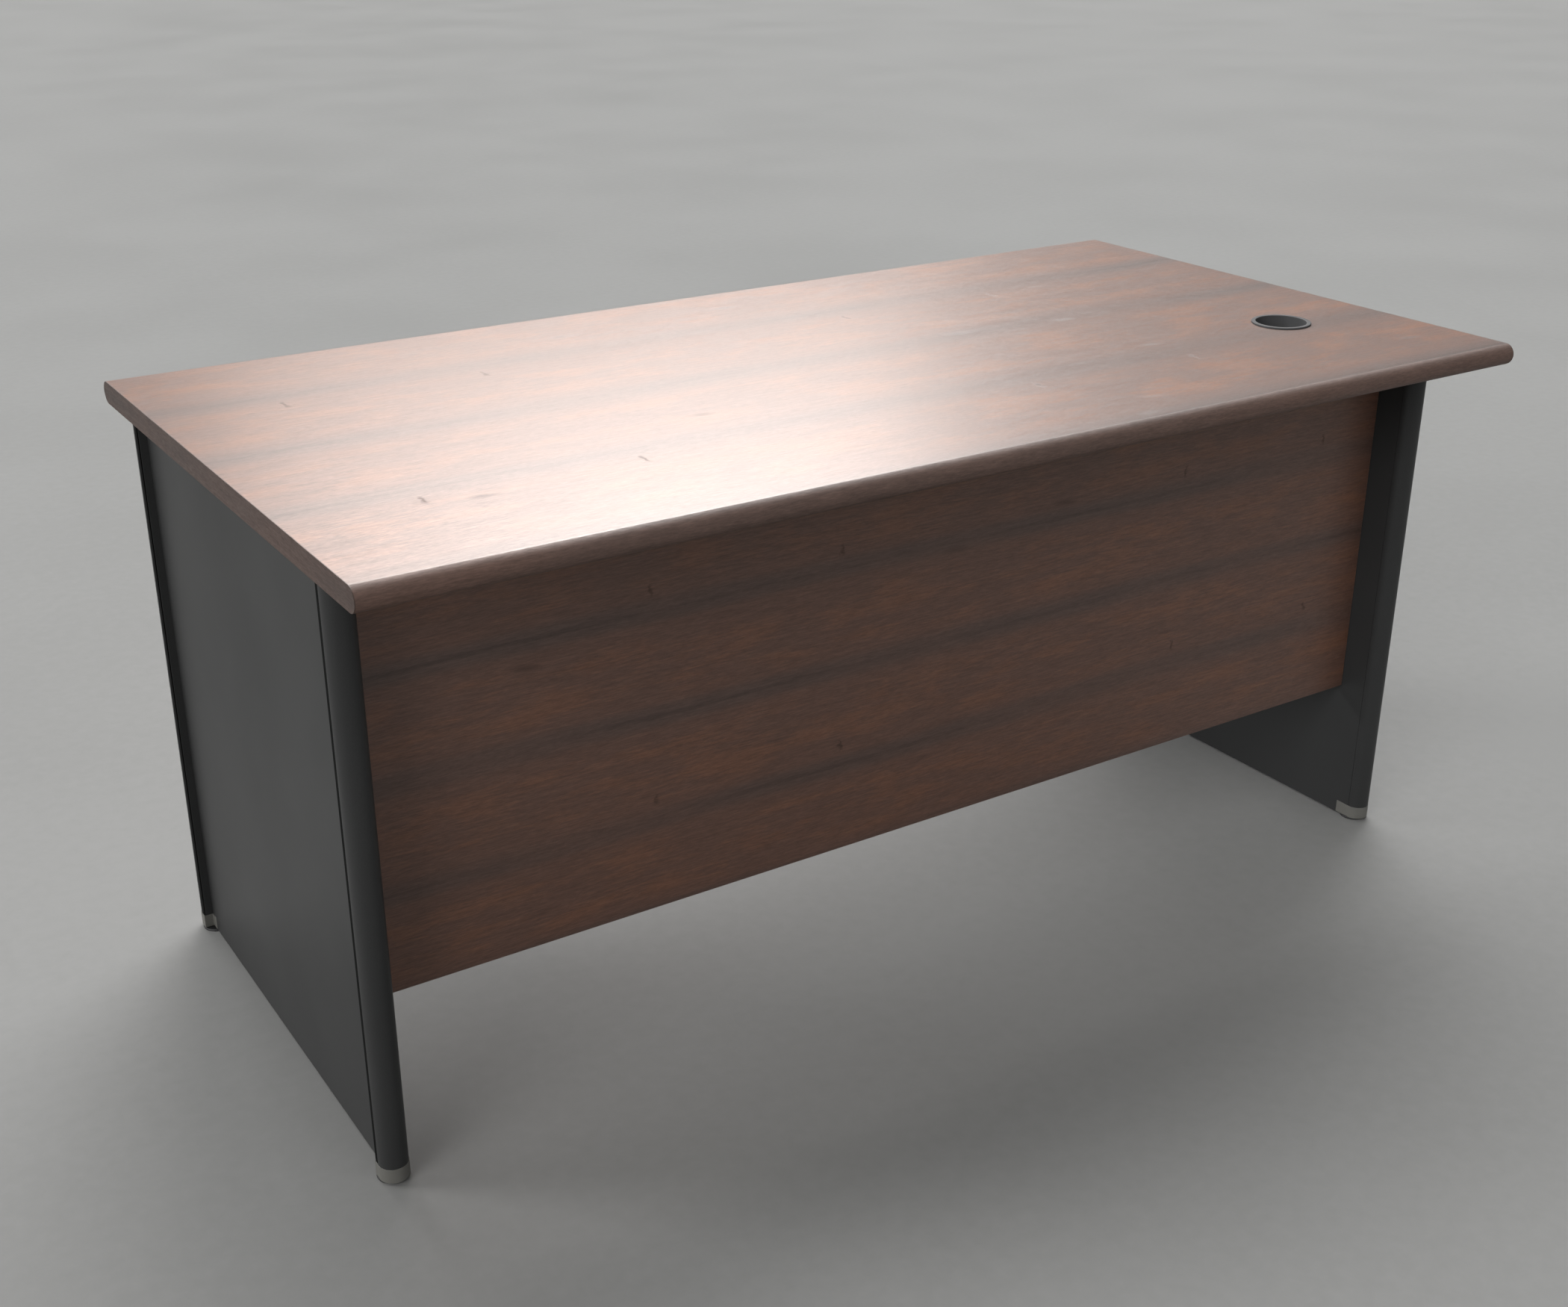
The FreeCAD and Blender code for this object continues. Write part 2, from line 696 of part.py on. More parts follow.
def bracket(label, x, y, z, rotation):
    """A steel angle: one flange along +X with its upper face at Z 0, the other down -Z."""
    flange, gauge = d.bracket_flange, d.bracket_gauge
    body = new_body(label, x, y, z, rotation)
    sketch = new_sketch(body, "XZ_Plane", -d.bracket_width / 2)
    outline(sketch, [(0, 0), (0, -flange), (gauge, -flange), (gauge, -gauge), (flange, -gauge),
                     (flange, 0)])
    pad(body, sketch, d.bracket_width)
    level = new_sketch(body, "XY_Plane", -gauge - d.overcut)
    upright = new_sketch(body, "YZ_Plane", -d.overcut)
    for step in PAIR:
        circle(level, d.bracket_hole_inset, step, d.bracket_hole_radius)
        circle(upright, step, -d.bracket_hole_inset, d.bracket_hole_radius)
    for holes in (level, upright):
        pocket(body, holes, gauge + 2 * d.overcut)


def brackets(name, side):
    """Two brackets hold the worktop on the leg, and two hold the modesty panel between the legs."""
    for end, bracket_y in zip(ENDS, BRACKET_YS):
        bracket(f"{name}_{end}_top_bracket", side * leg_inner_x, bracket_y, top_underside,
                half_turn(side > 0))
    upended = FreeCAD.Rotation(X_AXIS, 90)
    flipped = FreeCAD.Rotation(Y_AXIS, 180) * upended
    for level, bracket_z in BRACKET_ZS.items():
        bracket(f"{name}_{level}_modesty_bracket", side * leg_inner_x, modesty_rear_y, bracket_z,
                flipped if side > 0 else upended)


def group(label, master, places):
    """Several copies of one fastener as one node: a compound of links to the master body."""
    links = []
    for index, (x, y, z, rotation) in enumerate(places, start=1):
        link = doc.addObject("App::Link", f"{label}_{index}")
        link.LinkedObject = master
        place(link, x, y, z, rotation)
        links.append(link)
    compound = doc.addObject("Part::Compound", label)
    compound.Label = label
    compound.Links = links
    nodes.append(compound)


def screw_master():
    """A button-head screw with a hexagon socket, its shank up +Z and its head below Z 0."""
    body = new_body("screw_master", keep=False)
    head, rounding = d.screw_head_height, d.screw_head_height / 2
    revolve(body, [(0, -head), (d.screw_head_radius - rounding, -head,
                                (d.screw_head_radius - rounding, -head / 2), 1),
                   (d.screw_head_radius, -head / 2), (d.screw_head_radius, 0), (d.screw_radius, 0),
                   (d.screw_radius, d.screw_length), (0, d.screw_length)])
    socket = new_sketch(body, "XY_Plane", -head - d.overcut)
    hexagon(socket, 0, 0, d.screw_socket_flats)
    pocket(body, socket, d.screw_socket_depth + d.overcut)
    return body


def insert_master():
    """A threaded insert for chipboard, its mouth at Z 0 and its body up +Z."""
    body = new_body("insert_master", keep=False)
    bore = d.screw_radius + d.running_play
    revolve(body, [(bore, 0), (d.insert_radius, 0), (d.insert_radius, d.insert_length),
                   (bore, d.insert_length)])
    return body


def rivet_nut_master():
    """A rivet nut, its mouth at Z 0 flush with the sheet and its collar drawn up behind it."""
    body = new_body("rivet_nut_master", keep=False)
    bore = d.screw_radius + d.running_play
    collar_end = d.sheet_thickness + d.rivet_collar_length
    revolve(body, [(bore, 0), (d.rivet_radius, 0), (d.rivet_radius, d.sheet_thickness),
                   (d.rivet_collar_radius, d.sheet_thickness), (d.rivet_collar_radius, collar_end),
                   (d.rivet_radius, collar_end), (d.rivet_radius, d.rivet_length),
                   (bore, d.rivet_length)])
    return body


def glide_nut_master():
    body = new_body("glide_nut_master", keep=False)
    sketch = new_sketch(body, "XY_Plane")
    hexagon(sketch, 0, 0, d.hexagon_flats)
    pad(body, sketch, d.glide_nut_height)
    bore = new_sketch(body, "XY_Plane", -d.overcut)
    circle(bore, 0, 0, d.stud_radius + d.running_play)
    pocket(body, bore, d.glide_nut_height + 2 * d.overcut)
    return body


def fasteners():
    screw, insert = screw_master(), insert_master()
    upward = FreeCAD.Rotation()
    forward = FreeCAD.Rotation(X_AXIS, 90)
    outward = {side: FreeCAD.Rotation(Y_AXIS, side * 90) for side in SIDES.values()}
    gauge = d.bracket_gauge
    group("desktop_screws", screw,
          [(x, y, top_underside - gauge, upward) for x, y in desktop_screw_places()])
    group("desktop_inserts", insert,
          [(x, y, top_underside, upward) for x, y in desktop_screw_places()])
    group("modesty_screws", screw,
          [(x, modesty_rear_y + gauge, z, forward) for x, z in modesty_screw_places()])
    group("modesty_inserts", insert,
          [(x, modesty_rear_y, z, forward) for x, z in modesty_screw_places()])
    group("leg_screws", screw,
          [(side * (leg_inner_x - gauge), y, z, outward[side])
           for side in SIDES.values() for y, z in leg_screw_places()])
    group("leg_rivet_nuts", rivet_nut_master(),
          [(side * leg_inner_x, y, z, outward[side])
           for side in SIDES.values() for y, z in leg_screw_places()])
    group("glide_nuts", glide_nut_master(),
          [(side * (leg_outer_x - nose_radius), y, d.recess_top, upward)
           for side in SIDES.values()
           for y in (leg_front_y + d.glide_setback, leg_rear_y - d.glide_setback)])


# ---------------------------------------------------------------- build, check and write

desktop_core()
desktop_laminate()
desktop_backer()
cable_grommet()
modesty_panel()
for side_name, side_sign in SIDES.items():
    desktop_end_band(side_name, side_sign)
    leg(side_name, side_sign)
    for leg_end in ENDS:
        foot(side_name, side_sign, leg_end)
    brackets(side_name, side_sign)
fasteners()
doc.recompute()

for thing in doc.Objects:
    if {"Invalid", "Error"} & set(thing.State):
        raise RuntimeError(f"{thing.Label} did not recompute: {thing.State}")
for node in nodes:
    if node.Shape.isNull() or not node.Shape.isValid() or not node.Shape.Solids:
        raise RuntimeError(f"{node.Label} has no valid shape")

os.makedirs("parts", exist_ok=True)
for node in nodes:
    node.Shape.exportStep(f"parts/{node.Label}.step")
    print(f"{node.Label:30s} {len(node.Shape.Solids):2d} solids {node.Shape.Volume / 1000:10.2f} cm3")
print(len(nodes), "nodes")
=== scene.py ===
"""A teacher desk: the looks.  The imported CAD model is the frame; this script gives every part its
material, and builds the pieces whose surface needs more than the CAD mesh holds."""

import json
import math

import bmesh
import bpy
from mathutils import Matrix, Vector


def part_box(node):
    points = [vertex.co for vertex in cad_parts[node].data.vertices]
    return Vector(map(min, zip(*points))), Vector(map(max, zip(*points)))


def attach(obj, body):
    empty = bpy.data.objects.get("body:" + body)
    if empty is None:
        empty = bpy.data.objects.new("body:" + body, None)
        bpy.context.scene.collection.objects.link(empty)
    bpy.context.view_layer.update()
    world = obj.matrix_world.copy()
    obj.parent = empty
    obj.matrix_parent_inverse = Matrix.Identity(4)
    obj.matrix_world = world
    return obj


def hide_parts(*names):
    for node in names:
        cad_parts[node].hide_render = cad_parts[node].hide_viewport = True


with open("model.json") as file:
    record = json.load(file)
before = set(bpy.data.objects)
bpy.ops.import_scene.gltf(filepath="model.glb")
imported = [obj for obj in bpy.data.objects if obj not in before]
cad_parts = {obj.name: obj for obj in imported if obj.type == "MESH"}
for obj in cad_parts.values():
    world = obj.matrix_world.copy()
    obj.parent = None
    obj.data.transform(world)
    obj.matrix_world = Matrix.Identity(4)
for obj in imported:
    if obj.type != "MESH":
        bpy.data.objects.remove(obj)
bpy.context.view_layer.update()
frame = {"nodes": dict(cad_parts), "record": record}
NODES = frame["nodes"]
SLOTS = {part["node"]: part["material_slot"] for part in frame["record"]["subparts"]}
BODIES = {node: body for body, nodes in frame["record"]["behaviour"]["bodies"].items()
          for node in nodes}
SIDES = ("left", "right")
ENDS = ("front", "rear")

# ---------------------------------------------------------------- sizes, in metres and degrees

TOP_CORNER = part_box("desktop_laminate")[1]      # the highest corner of the worktop's laminate
DESK_CENTRE = Vector((0, 0, TOP_CORNER.z / 2))

WELD = 1e-5                 # CAD mesh corners closer than this are one corner
FLAT = 0.4                  # faces that meet flatter than this are one face
CREASE = 30.0               # an edge sharper than this is eased, and shades as an edge
SEAM = 0.0002               # edges this near the joint of laminate and end band stay sharp

# the posts' section, beyond what their CAD boxes say
LAP = 0.0010                # the inner panel's sheet, which laps over the post
POST_ROUND = 0.0006
POST_ROUND_STEPS = 4
SHOULDER = 2.2              # 2 is an ellipse, and more is squarer
SHOULDER_STEPS = 30
NOSE_STEPS = 18
STRIP_WIDTH = 0.0080         # of the black strip let into each post beside the outer panel
STRIP_THICKNESS = 0.0010
STRIP_STEPS = 8
STRIP_INSET = 0.0004         # of the strip's face from the post's
STRIP_BED = 0.0020           # how deep the post is stepped to take it
STRIP_GAP = 0.0002           # between the strip and the step's edge

# the wood print, as it lies on the worktop; the modesty panel carries it squeezed across the grain
PRINT_SWAY = 0.035          # how far the grain wanders
PRINT_BAND_PITCH = 0.211    # between its dark bands
PRINT_TILE = 0.80           # one repeat along the grain
PRINT_TICK_PAIR = 0.255     # between the two marks in one repeat
PRINT_TICK_ROWS = 0.415     # between rows of marks
PRINT_TICK_CURL = 0.016
MODESTY_BAND_PITCH = 0.127
MODESTY_SQUEEZE = PRINT_BAND_PITCH / MODESTY_BAND_PITCH
ROLL_START = 0.00002        # below the top face, where the laminate starts to roll over the edge
ROLL_FULL = 0.00030

WALNUT_MIDDLE = (0.124, 0.067, 0.049)
WALNUT_RED = (0.174, 0.080, 0.047)
WALNUT_GREY = (0.089, 0.058, 0.048)

SPARK_DEPTH = 0.00003       # of the texture on moulded plastic

FLOOR_SIZE = 80.0
FLOOR_DARK = (0.225, 0.225, 0.220)
FLOOR_PALE = (0.246, 0.246, 0.241)
WALL_REACH = 38.0           # from the desk's middle
WALL_COVE = 6.0             # radius of the curve at its foot
WALL_HEIGHT = 40.0
WALL_SIDES = 96
WALL_COVE_STEPS = 12
SHEEN_DISTANCE = 4.0        # of the two sheen lights from the desk's middle

# the photograph's camera
CAMERA_PLACE = (-1.3334, -1.9508, 1.3747)
CAMERA_DIP = 23.545         # below the horizon
CAMERA_TURN = 32.896        # to the right of straight on
CAMERA_LENS = 43.63         # millimetres, for a sensor 36 mm wide
CAMERA_SENSOR = 36.0


# ---------------------------------------------------------------- shader helpers

class Shader:
    """A material under construction: each call adds one node and returns its output socket."""

    def __init__(self, name, **constants):
        self.material = bpy.data.materials.new(name)
        self.material.use_nodes = True
        self.tree = self.material.node_tree
        self.bsdf = self.tree.nodes["Principled BSDF"]
        for socket, value in constants.items():
            self.bsdf.inputs[socket.replace("_", " ")].default_value = value

    def add(self, kind, inputs, output=0, **settings):
        node = self.tree.nodes.new(f"ShaderNode{kind}")
        for setting, value in settings.items():
            setattr(node, setting, value)
        for key, value in inputs.items():
            if isinstance(value, bpy.types.NodeSocket):
                self.tree.links.new(value, node.inputs[key])
            else:
                node.inputs[key].default_value = value
        return node.outputs[output]

    def math(self, operation, a, b=0.0, c=0.0):
        return self.add("Math", {0: a, 1: b, 2: c}, operation=operation)

    def times(self, first, *others):
        for other in others:
            first = self.math("MULTIPLY", first, other)
        return first

    def less(self, amount):
        """1, less the amount."""
        return self.math("SUBTRACT", 1.0, amount)

    def swing(self, noise):
        """A noise as its distance from its own middle."""
        return self.math("SUBTRACT", noise, 0.5)

    def place(self):
        """Where the point is in the desk's own frame, in metres."""
        return self.add("TexCoord", {}, output="Object")

    def axes(self, vector):
        return [self.add("SeparateXYZ", {0: vector}, output=axis) for axis in range(3)]

    def stretched(self, vector, scale, location=(0, 0, 0)):
        return self.add("Mapping", {"Vector": vector, "Scale": scale, "Location": location})

    def noise(self, vector, scale=1.0, detail=4.0, roughness=0.5):
        return self.add("TexNoise", {"Vector": vector, "Scale": scale, "Detail": detail,
                                     "Roughness": roughness})

    def cells(self, vector, output):
        return self.add("TexVoronoi", {"Vector": vector, "Scale": 1.0}, output=output)

    def first_channel(self, colour):
        return self.add("SeparateColor", {"Color": colour})

    def ramp(self, value, low, high, to_low=0.0, to_high=1.0, kind="SMOOTHSTEP"):
        """Value carried from the range low..high to to_low..to_high, and held there."""
        return self.add("MapRange", {"Value": value, "From Min": low, "From Max": high,
                                     "To Min": to_low, "To Max": to_high}, interpolation_type=kind)

    def mix(self, share, first, second):
        """Two colours, mixed by share."""
        return self.add("Mix", {0: share, 6: first, 7: second}, output=2, data_type="RGBA")

    def shaded(self, colour, shade):
        """The colour made lighter or darker by a plain factor."""
        grey = self.add("CombineXYZ", {0: shade, 1: shade, 2: shade})
        return self.add("Mix", {0: 1.0, 6: colour, 7: grey}, output=2, data_type="RGBA",
                        blend_type="MULTIPLY")

    def worn_edge(self, place):
        """1 on the worn stretches of a piece's eased edges, and 0 elsewhere."""
        edge = self.add("Attribute", {}, output="Fac", attribute_name="edge")
        return self.times(edge, self.ramp(self.noise(place, 60.0, 3.0), 0.42, 0.62))

    def bump(self, height, distance, strength):
        return self.add("Bump", {"Height": height, "Distance": distance, "Strength": strength})

    def set(self, **links):
        for socket, output in links.items():
            self.tree.links.new(output, self.bsdf.inputs[socket.replace("_", " ")])


def rgb(red, green, blue):
    return (red, green, blue, 1.0)


def scaled(colour, factor, lift=0.0):
    """A colour times a factor, and then lifted a little."""
    return rgb(*(value * factor + lift for value in colour))


# ---------------------------------------------------------------- the walnut print

def grain_space(s, along, across, squeeze):
    """The print's own coordinates: x runs along the grain, and y across it."""
    axes = dict(zip("xyz", s.axes(s.place())))
    depth = [axes[name] for name in "xyz" if name not in (along, across)][0]
    side = s.math("MULTIPLY", axes[across], squeeze)
    grain = s.add("CombineXYZ", {0: axes[along], 1: side, 2: depth})
    wave = s.noise(s.stretched(grain, (1.7, 6.0, 6.0)), detail=2.0)
    side = s.math("MULTIPLY_ADD", s.swing(wave), PRINT_SWAY, side)
    return axes[along], side, s.add("CombineXYZ", {0: axes[along], 1: side, 2: depth})


def print_bands(s, side, grain, crest_at):
    """The soft grey band at each repeat of the print, and the thin dark line in its middle.  The
    first result is 1 in a band's middle and -1 halfway to the next."""
    turn = s.times(s.math("SUBTRACT", side, crest_at), 2 * math.pi / PRINT_BAND_PITCH)
    crest = s.math("COSINE", turn)
    broken = s.noise(s.stretched(grain, (2.4, 9.0, 9.0), (3.1, 0.4, 0.0)), detail=3.0)
    band = s.times(s.ramp(crest, 0.62, 1.0), s.ramp(broken, 0.30, 0.58, 0.45, 1.0))
    line = s.times(s.ramp(crest, 0.984, 1.0), s.ramp(broken, 0.38, 0.62, 0.1, 1.0))
    return crest, band, line


def print_patches(s, grain, fibre, crest, figure):
    """The reddish patches between the bands, combed by the fibres."""
    patch = s.noise(s.stretched(grain, (8.0, 20.0, 20.0)), detail=4.0, roughness=0.62)
    patch = s.math("MULTIPLY_ADD", s.swing(fibre), 0.35, patch)
    return s.times(s.ramp(patch, 0.42, 0.68), s.ramp(crest, -0.1, 0.75, figure, 0.05))


def print_knots(s, run, side, fibre):
    """A few small slanted knots."""
    slanted = s.add("CombineXYZ", {0: s.math("ADD", run, side), 1: side})
    slanted = s.stretched(slanted, (6.5, 17.0, 1.0), (0.3, 0.7, 0.0))
    knot = s.ramp(s.cells(slanted, "Distance"), 0.03, 0.16, 1.0, 0.0)
    chosen = s.ramp(s.first_channel(s.cells(slanted, "Color")), 0.5, 0.6)
    return s.times(knot, chosen, fibre)


def print_ticks(s, run, side, first, grain):
    """Short curled marks across the grain: two in each repeat, in every second band."""
    x, y = first
    curl = s.noise(s.stretched(grain, (90.0, 90.0, 90.0)), detail=2.0)
    run = s.math("MULTIPLY_ADD", s.swing(curl), PRINT_TICK_CURL, run)
    pair = [s.math("PINGPONG", s.math("SUBTRACT", run, start), PRINT_TILE / 2)
            for start in (x, x + PRINT_TICK_PAIR)]
    near = s.math("MINIMUM", *pair)
    row = s.math("PINGPONG", s.math("SUBTRACT", side, y), PRINT_TICK_ROWS / 2)
    return s.times(s.ramp(near, 0.0003, 0.0040, 1.0, 0.0), s.ramp(row, 0.004, 0.0170, 1.0, 0.0))


def walnut(name, along, across, crest_at=0.0, first_tick=None, squeeze=1.0, tone=1.0,
           figure=1.0, roughness=0.36, flat_at=None):
    """Walnut-print laminate.  along and across name the grain's axes; crest_at is a dark band's
    place across the grain, first_tick the place of one across-grain mark, and figure the strength
    of the reddish patches.  Below the height flat_at the laminate rolls over the front and rear
    edges, which dulls it; there its colour also takes a painted light, a little lighter."""
    s = Shader(name, Specular_IOR_Level=0.42)
    run, side, grain = grain_space(s, along, across, squeeze)
    crest, band, line = print_bands(s, side, grain, crest_at)
    fibre = s.noise(s.stretched(grain, (26.0, 190.0, 190.0)), detail=5.0, roughness=0.74)
    fine = s.noise(s.stretched(grain, (110.0, 640.0, 640.0)), detail=3.0, roughness=0.6)
    patch = print_patches(s, grain, fibre, crest, figure)
    knot = print_knots(s, run, side, fibre)

    colour = s.mix(patch, scaled(WALNUT_MIDDLE, tone), scaled(WALNUT_RED, tone))
    colour = s.mix(s.times(band, 0.85), colour, scaled(WALNUT_GREY, tone))
    shade = s.times(s.ramp(fibre, 0.28, 0.72, 0.78, 1.20, "LINEAR"),
                    s.ramp(fine, 0.30, 0.70, 0.80, 1.18, "LINEAR"),
                    s.less(s.times(line, 0.22)),
                    s.less(s.times(knot, 0.75)),
                    s.math("MULTIPLY_ADD", s.worn_edge(s.place()), 0.18, 1.0))
    relief = s.math("ADD", s.times(fine, 0.5), s.times(fibre, 0.5))
    rough = s.ramp(relief, 0.3, 0.7, roughness + 0.11, roughness - 0.08, "LINEAR")
    rough = s.math("MULTIPLY_ADD", knot, 0.25, rough)
    if first_tick:
        ticks = print_ticks(s, run, side, first_tick, grain)
        shade = s.times(shade, s.less(s.times(ticks, 0.38)))
        rough = s.math("MULTIPLY_ADD", ticks, 0.26, rough)
    if flat_at:
        height = s.axes(s.place())[2]
        # the rolled edge: duller, and painted up to 6 per cent lighter, a painted light
        rolled_and_lit = s.ramp(height, flat_at - ROLL_FULL, flat_at - ROLL_START, 1.0, 0.0)
        shade = s.times(shade, s.math("MULTIPLY_ADD", rolled_and_lit, 0.06, 1.0))
        rough = s.math("MULTIPLY_ADD", rolled_and_lit, 0.28, rough)
    s.set(Base_Color=s.shaded(colour, shade),
          Roughness=rough,
          Normal=s.bump(relief, 0.0002, 0.55))
    return s.material


# ---------------------------------------------------------------- the other materials

def powder_coat(name, colour, roughness):
    """Fine-textured powder coat: an orange-peel bump, a slight drift in tone and gloss, and edges
    rubbed a little lighter and smoother."""
    s = Shader(name, Specular_IOR_Level=0.2)
    place = s.place()
    drift = s.noise(place, 3.0, 3.0)
    peel = s.noise(place, 900.0, 3.0, 0.55)
    swell = s.noise(place, 220.0, 2.0)
    worn = s.worn_edge(place)
    tone = s.mix(s.ramp(drift, 0.3, 0.7), scaled(colour, 0.88), rgb(*colour))
    speck = s.ramp(peel, 0.3, 0.7, 0.90, 1.08, "LINEAR")
    rough = s.ramp(drift, 0.3, 0.7, roughness + 0.03, roughness - 0.03, "LINEAR")
    s.set(Base_Color=s.shaded(s.mix(s.times(worn, 0.6), tone, scaled(colour, 1.7)), speck),
          Roughness=s.math("MULTIPLY_ADD", worn, -0.08, rough),
          Normal=s.bump(s.math("MULTIPLY_ADD", swell, 0.6, peel), 0.00006, 0.6))
    return s.material


def moulded(name, colour, roughness, specular=0.5):
    """Moulded plastic: a fine spark-eroded texture, faint flow marks, and scuffed edges."""
    s = Shader(name, Specular_IOR_Level=specular)
    place = s.place()
    drift = s.noise(place, 25.0, 3.0)
    spark = s.noise(place, 1800.0, 2.0)
    worn = s.worn_edge(place)
    tone = s.mix(s.ramp(drift, 0.35, 0.65), scaled(colour, 0.92), rgb(*colour))
    s.set(Base_Color=s.mix(s.times(worn, 0.5), tone, scaled(colour, 0.85, 0.03)),
          Roughness=s.ramp(drift, 0.3, 0.7, roughness + 0.04, roughness - 0.04, "LINEAR"),
          Normal=s.bump(spark, SPARK_DEPTH, 0.6))
    return s.material


def chipboard(name):
    """Pressed flakes, lighter and darker, with glue-dark gaps."""
    s = Shader(name, Roughness=0.85)
    flakes = s.stretched(s.place(), (420.0, 260.0, 420.0))
    tint = s.first_channel(s.cells(flakes, "Color"))
    s.set(Base_Color=s.mix(tint, rgb(0.33, 0.22, 0.12), rgb(0.58, 0.43, 0.26)),
          Normal=s.bump(s.cells(flakes, "Distance"), 0.0003, 0.6))
    return s.material


def metal(name, colour, roughness):
    """Zinc-plated or bare steel, faintly brushed and mottled."""
    s = Shader(name, Metallic=1.0)
    place = s.place()
    mottle = s.noise(place, 60.0, 4.0)
    brushed = s.noise(s.stretched(place, (60.0, 60.0, 1400.0)), detail=3.0)
    s.set(Base_Color=s.mix(mottle, scaled(colour, 0.8), rgb(*colour)),
          Roughness=s.ramp(mottle, 0.3, 0.7, roughness + 0.08, roughness - 0.05, "LINEAR"),
          Normal=s.bump(brushed, 0.00004, 0.5))
    return s.material


def finishes():
    """A material for every slot in the record, and one for the black strips."""
    modesty = {"along": "x", "across": "z", "crest_at": 0.452 * MODESTY_SQUEEZE,
               "first_tick": (-0.405, 0.602 * MODESTY_SQUEEZE), "squeeze": MODESTY_SQUEEZE,
               "tone": 0.97, "figure": 0.65}
    return {
        "worktop_laminate": walnut("walnut_worktop", "x", "y", crest_at=0.018,
                                   first_tick=(-0.65, -0.228), tone=1.12, flat_at=TOP_CORNER.z),
        "end_band": walnut("walnut_end_band", "y", "z", crest_at=0.10, tone=0.64, roughness=0.45),
        "modesty_face": walnut("walnut_modesty", **modesty),
        "modesty_edge": walnut("walnut_modesty_edge", **modesty),
        "chipboard": chipboard("raw_chipboard"),
        "balancing_sheet": moulded("balancing_sheet", (0.10, 0.075, 0.06), 0.6),
        "grommet_plastic": moulded("grommet_plastic", (0.072, 0.073, 0.075), 0.7, specular=0.2),
        "leg_paint": powder_coat("leg_powder_coat", (0.0375, 0.038, 0.038), 0.42),
        "bracket_paint": powder_coat("bracket_powder_coat", (0.02, 0.02, 0.021), 0.5),
        "inner_steel": metal("inner_steel", (0.42, 0.42, 0.43), 0.45),
        "zinc_steel": metal("zinc_plated_steel", (0.66, 0.67, 0.70), 0.28),
        "cap_plastic": moulded("cap_plastic", (0.140, 0.137, 0.124), 0.5),
        "foot_plastic": moulded("foot_plastic", (0.015, 0.015, 0.016), 0.5),
        # an even near-black, for the thin dark strip along each post's rear edge
        "near_black_strip": moulded("near_black_strip", (0.007, 0.007, 0.007), 0.9, specular=0.08),
    }


def dress(looks):
    """Every CAD node takes the material of its slot in the record."""
    for node, slot in SLOTS.items():
        NODES[node].data.materials.clear()
        NODES[node].data.materials.append(looks[slot])


# ---------------------------------------------------------------- pieces with eased edges

def everywhere(point):
    return True


def outer_rim(point):
    """Whether a point on an end band is away from the joint with the laminate."""
    return abs(point.x) > TOP_CORNER.x + SEAM


def away_from_bands(point):
    """Whether a point on the laminate is away from the joint with an end band."""
    return abs(point.x) < TOP_CORNER.x - SEAM


def ease(mesh, radius, segments, where):
    """Round a mesh's sharp edges, and mark the faces this makes in the attribute "edge"."""
    bmesh.ops.remove_doubles(mesh, verts=mesh.verts, dist=WELD)
    bmesh.ops.dissolve_limit(mesh, verts=mesh.verts, edges=mesh.edges,
                             angle_limit=math.radians(FLAT))
    sharp = [edge for edge in mesh.edges
             if edge.is_manifold and edge.calc_face_angle() > math.radians(CREASE)
             and where((edge.verts[0].co + edge.verts[1].co) / 2)]
    mark = mesh.faces.layers.float.new("edge")
    made = bmesh.ops.bevel(mesh, geom=sharp, offset=radius, offset_type="OFFSET",
                           segments=segments, profile=0.5, affect="EDGES", clamp_overlap=True)
    for face in made["faces"]:
        face[mark] = 1.0


def shown(mesh, name, material):
    """The mesh as an object in the scene, smooth but for its sharp edges."""
    data = bpy.data.meshes.new(name)
    mesh.to_mesh(data)
    mesh.free()
    data.shade_smooth()
    data.set_sharp_from_angle(angle=math.radians(CREASE))
    data.materials.append(material)
    piece = bpy.data.objects.new(name, data)
    bpy.context.scene.collection.objects.link(piece)
    normals = piece.modifiers.new("even_faces", "WEIGHTED_NORMAL")
    normals.keep_sharp = True
    return piece


def finished(mesh, node, looks):
    """The mesh as a piece that stands for a CAD node."""
    piece = shown(mesh, node + "_eased", looks[SLOTS[node]])
    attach(piece, BODIES[node])
    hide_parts(node)
    return piece


def eased(node, looks, radius, segments=2, where=everywhere):
    """A piece that stands for a CAD node, the same but with its sharp edges rounded."""
    mesh = bmesh.new()
    mesh.from_mesh(NODES[node].data)
    ease(mesh, radius, segments, where)
    return finished(mesh, node, looks)


def eased_pieces(looks):
    """The parts whose edges the light catches."""
    eased("desktop_laminate", looks, radius=0.0004, where=away_from_bands)
    eased("cable_grommet", looks, radius=0.0007, segments=3)
    eased("modesty_board", looks, radius=0.0003)
    for name in ("left", "right", "bottom"):
        eased(f"modesty_{name}_band", looks, radius=0.0004)
    for side in SIDES:
        eased(f"desktop_end_band_{side}", looks, radius=0.0005, where=outer_rim)
        eased(f"{side}_outer_panel", looks, radius=0.0005)
        eased(f"{side}_inner_panel", looks, radius=0.0005)
        for end in ENDS:
            eased(f"{side}_{end}_foot_cap", looks, radius=0.0007, segments=3)
            eased(f"{side}_{end}_glide_pad", looks, radius=0.0008)


# ---------------------------------------------------------------- posts

def arc(centre, radius, start, turn, steps):
    """Points along an arc, in degrees."""
    angles = [math.radians(start + turn * step / steps) for step in range(steps + 1)]
    return [(centre[0] + radius * math.cos(angle), centre[1] + radius * math.sin(angle))
            for angle in angles]


def shoulder(across, along):
    """A quarter of a squared ellipse, from the post's outer rear edge to the tip of its nose."""
    points = []
    for step in range(1, SHOULDER_STEPS + 1):
        turn = math.pi / 2 * step / SHOULDER_STEPS
        points.append((across * (1 - math.cos(turn) ** (2 / SHOULDER)),
                       along * (1 - math.sin(turn) ** (2 / SHOULDER))))
    return points


